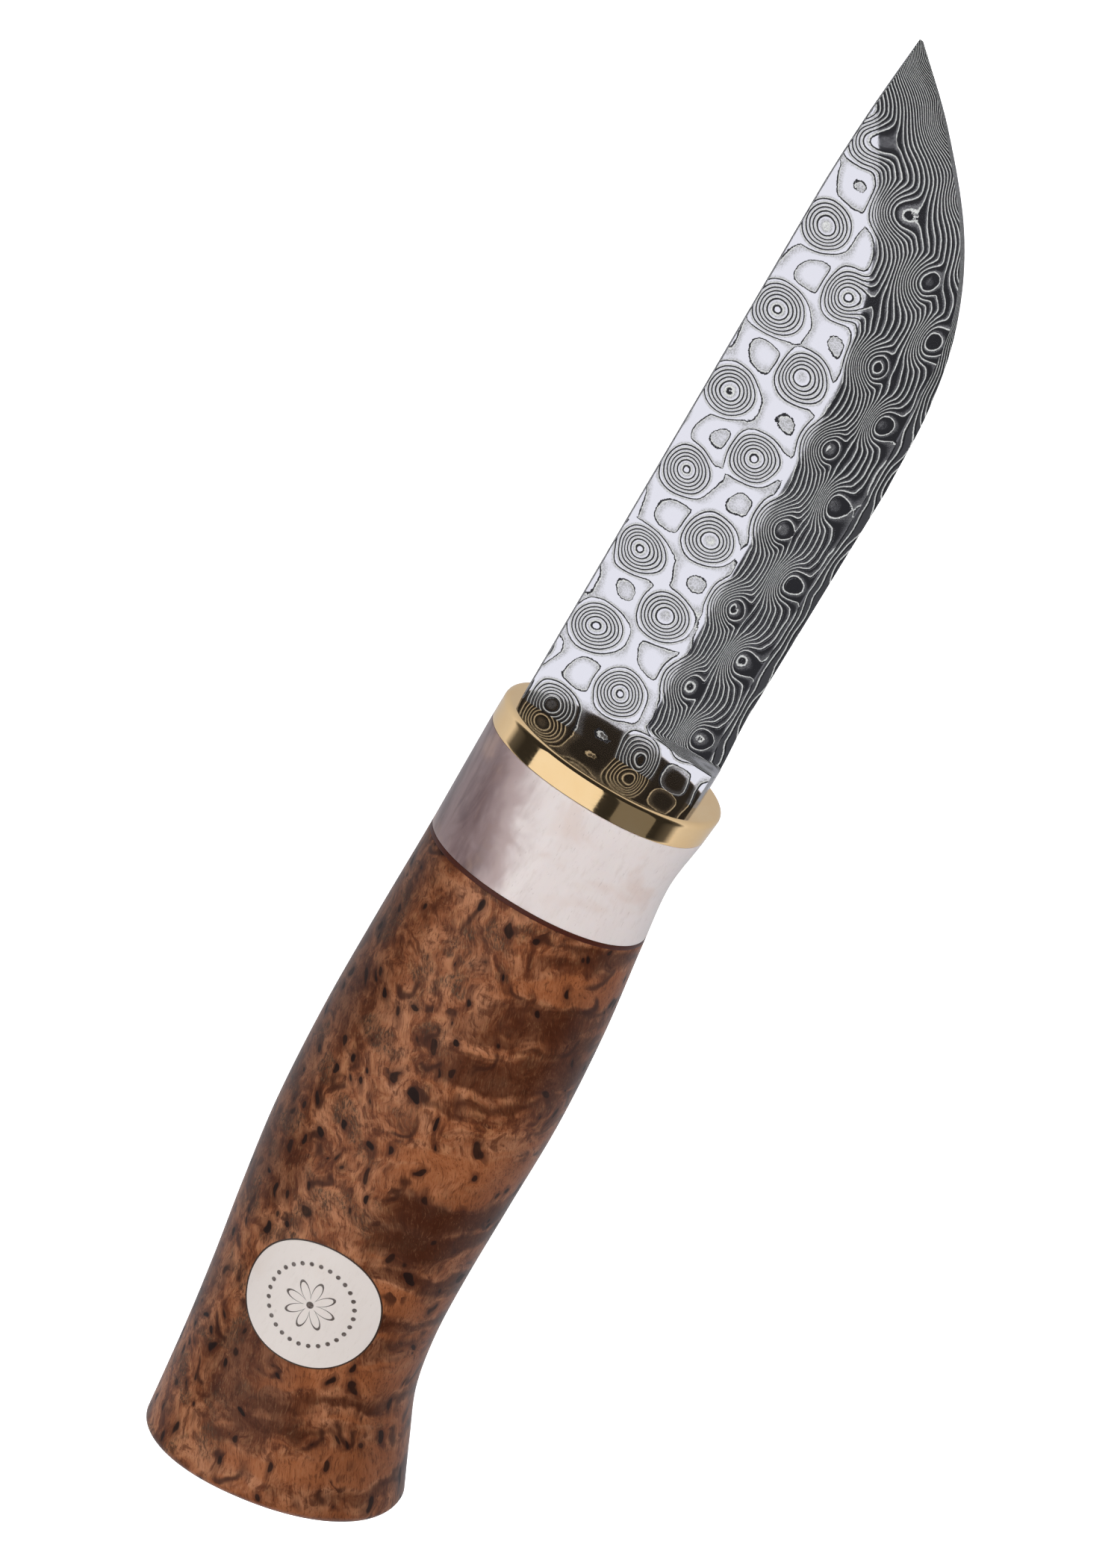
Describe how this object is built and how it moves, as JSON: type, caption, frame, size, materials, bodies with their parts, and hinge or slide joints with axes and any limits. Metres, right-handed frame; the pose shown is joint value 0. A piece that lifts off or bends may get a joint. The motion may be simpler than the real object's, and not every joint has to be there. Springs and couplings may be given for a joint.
{
  "type": "fixed-blade belt knife",
  "caption": "Nordic belt knife with a damascus stick-tang blade, brass bolster, antler spacer and curly birch handle with an antler inlay.",
  "frame": {"origin": "on the flat front face of the brass bolster, at the middle of the blade's thickness", "axes": "+X towards the tip, +Y towards the spine, +Z out of the side with the oval inlay"},
  "size_m": [0.2153, 0.0429, 0.0282],
  "materials": {
    "damascus_steel": "polished and etched",
    "brass": "polished",
    "antler": "satin",
    "red_fibre": "satin",
    "curly_birch": "oiled and polished",
    "epoxy": "cured resin"
  },
  "bodies": {
    "root": {"blade": "damascus_steel", "bolster": "brass", "antler_spacer": "antler", "fibre_liner": "red_fibre", "birch_handle": "curly_birch", "tang_epoxy": "epoxy", "antler_inlay": "antler", "inlay_adhesive": "epoxy"}
  },
  "joints": []
}
